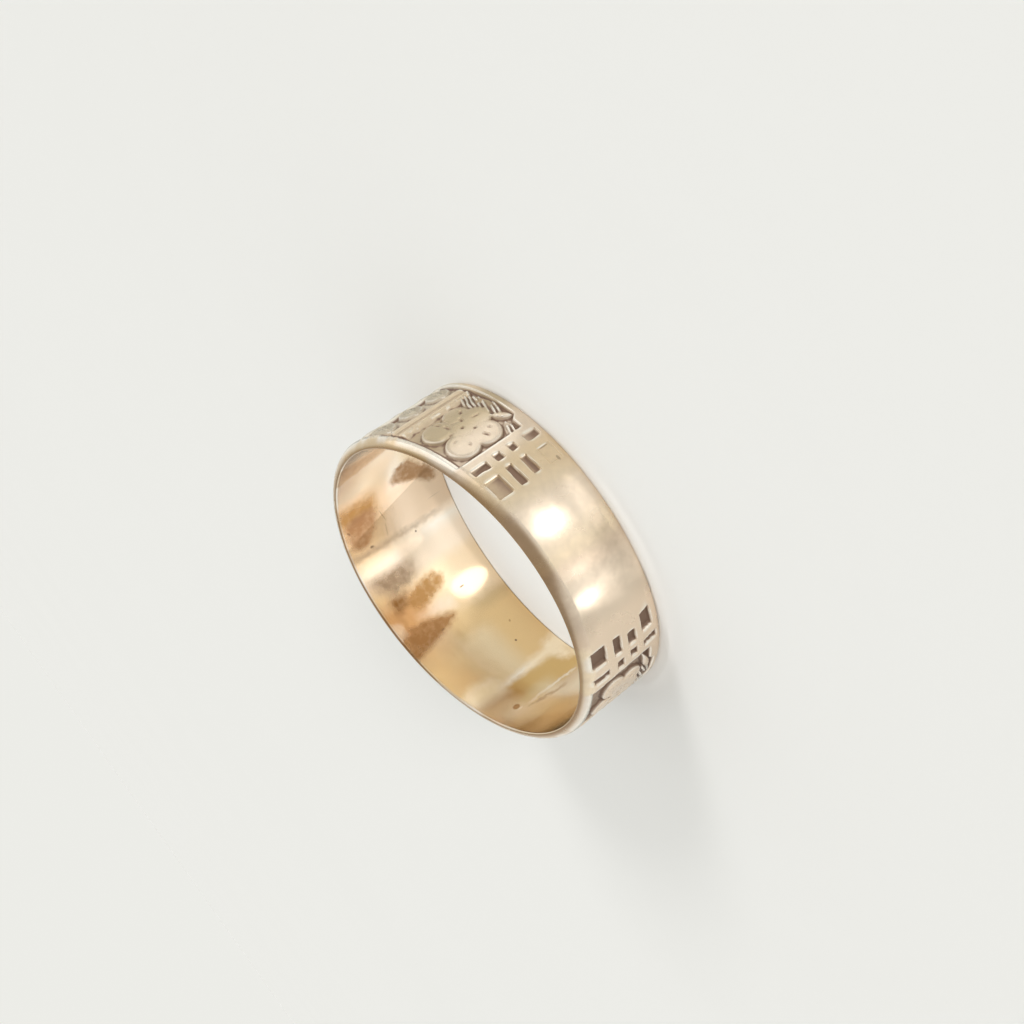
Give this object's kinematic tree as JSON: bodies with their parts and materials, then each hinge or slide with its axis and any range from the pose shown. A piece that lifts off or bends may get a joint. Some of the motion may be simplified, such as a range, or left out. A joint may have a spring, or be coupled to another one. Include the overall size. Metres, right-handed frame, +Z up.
{
  "type": "band ring",
  "caption": "Wide finger ring in one piece of gold, tapering from back to front, with chased flowers, ferns, bars and lattices sunk round its outside.",
  "frame": {"origin": "centre of the bore at the lower rim, on the surface the ring lies on", "axes": "+Z up along the bore; -Y towards the front, where the band is narrowest and plain; +X to the right seen from the front"},
  "size_m": [0.0192, 0.0192, 0.0076],
  "materials": {
    "band_gold": "polished rose-tinted gold, softly worn, dark tarnish in the recesses"
  },
  "bodies": {
    "root": {"band": "band_gold"}
  },
  "joints": []
}
